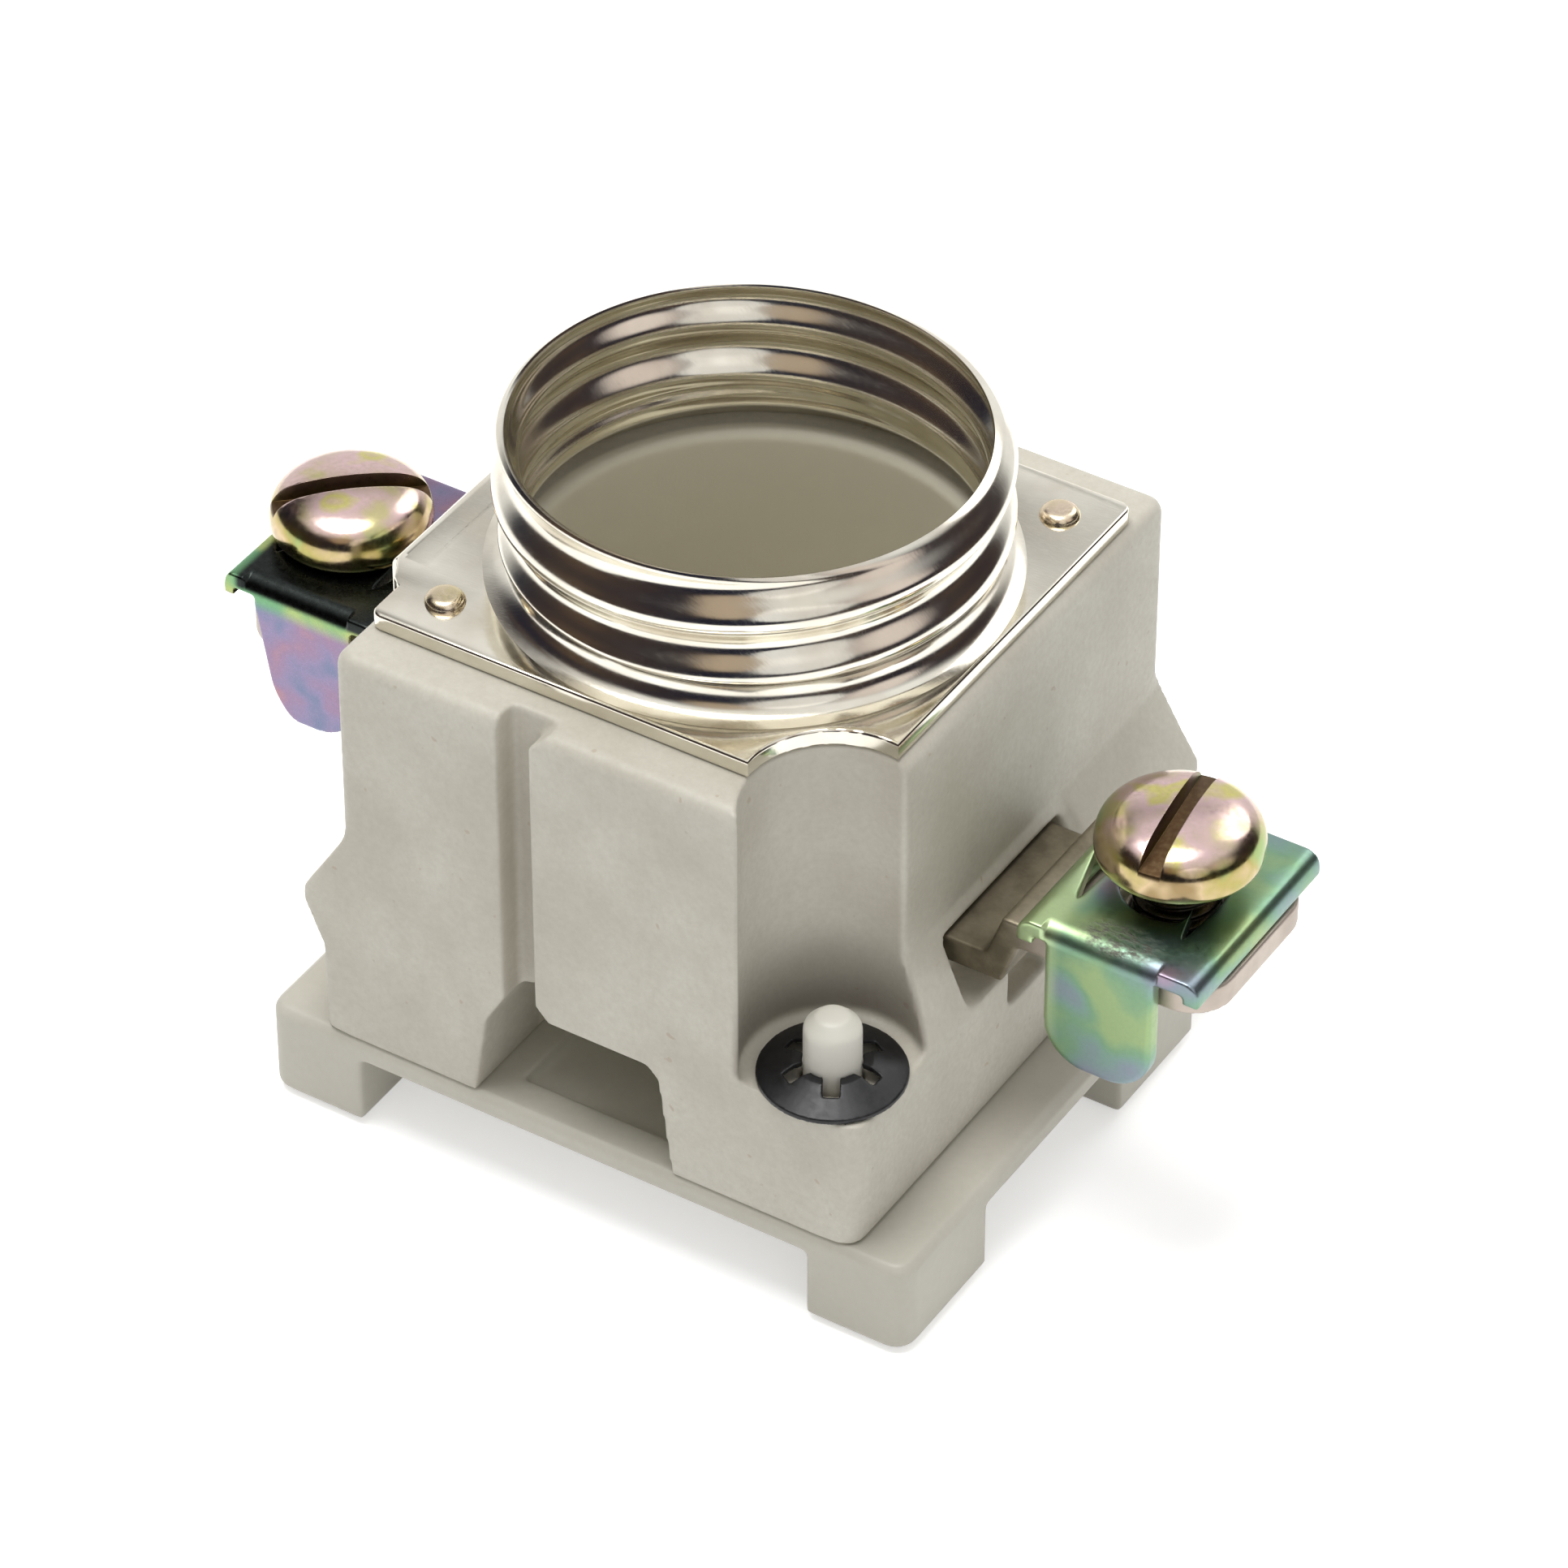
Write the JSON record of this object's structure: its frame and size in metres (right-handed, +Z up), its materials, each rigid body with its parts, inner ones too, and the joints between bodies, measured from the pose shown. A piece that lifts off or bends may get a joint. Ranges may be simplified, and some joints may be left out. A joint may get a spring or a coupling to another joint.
{
  "type": "screw-cartridge fuse base",
  "caption": "Ceramic fuse base with a threaded shell on a square flange, saddle screw terminals at both ends and a plate that clips over a top-hat rail.",
  "frame": {"origin": "underside of the plate, where it rests on the rail, on the axis of the cartridge well", "axes": "+Z up along the well's axis, out of its mouth; +X towards the right terminal; -Y towards the long face with the pin at its right corner"},
  "size_m": [0.0774, 0.045, 0.0527],
  "materials": {
    "ceramic": "satin",
    "plate_plastic": "satin",
    "nickel": "polished",
    "black_steel": "semi-gloss",
    "zinc_green": "iridescent plating",
    "zinc_gold": "iridescent plating"
  },
  "bodies": {
    "base": {"base_plate": "plate_plastic", "ceramic_body": "ceramic", "thread_shell": "nickel", "contact_rail": "nickel", "push_washer_front": "black_steel", "push_washer_rear": "black_steel", "flange_screw_left": "zinc_gold", "flange_screw_right": "zinc_gold", "contact_screw_left": "zinc_gold", "contact_screw_right": "zinc_gold"},
    "left_saddle": {"saddle_left": "zinc_green"},
    "right_saddle": {"saddle_right": "zinc_green"},
    "left_screw": {"terminal_screw_left": "zinc_gold"},
    "right_screw": {"terminal_screw_right": "zinc_gold"}
  },
  "joints": [
    {"name": "saddle_lift_left", "type": "slide", "parent": "base", "child": "left_saddle", "axis": [0, 0, 1], "range_m": [0, 0.0035]},
    {"name": "saddle_lift_right", "type": "slide", "parent": "base", "child": "right_saddle", "axis": [0, 0, 1], "range_m": [0, 0.0035]},
    {"name": "screw_turn_left", "type": "hinge", "parent": "left_saddle", "child": "left_screw", "pos_m": [-0.0323, 0, 0.0254], "axis": [0, 0, -1], "range_deg": [-1260, 0]},
    {"name": "screw_turn_right", "type": "hinge", "parent": "right_saddle", "child": "right_screw", "pos_m": [0.0323, 0, 0.0254], "axis": [0, 0, -1], "range_deg": [-1260, 0]}
  ],
  "couplings": [
    {"joint": "screw_turn_left", "follows": "saddle_lift_left", "rad_per_m": -6283.2},
    {"joint": "screw_turn_right", "follows": "saddle_lift_right", "rad_per_m": -6283.2}
  ]
}
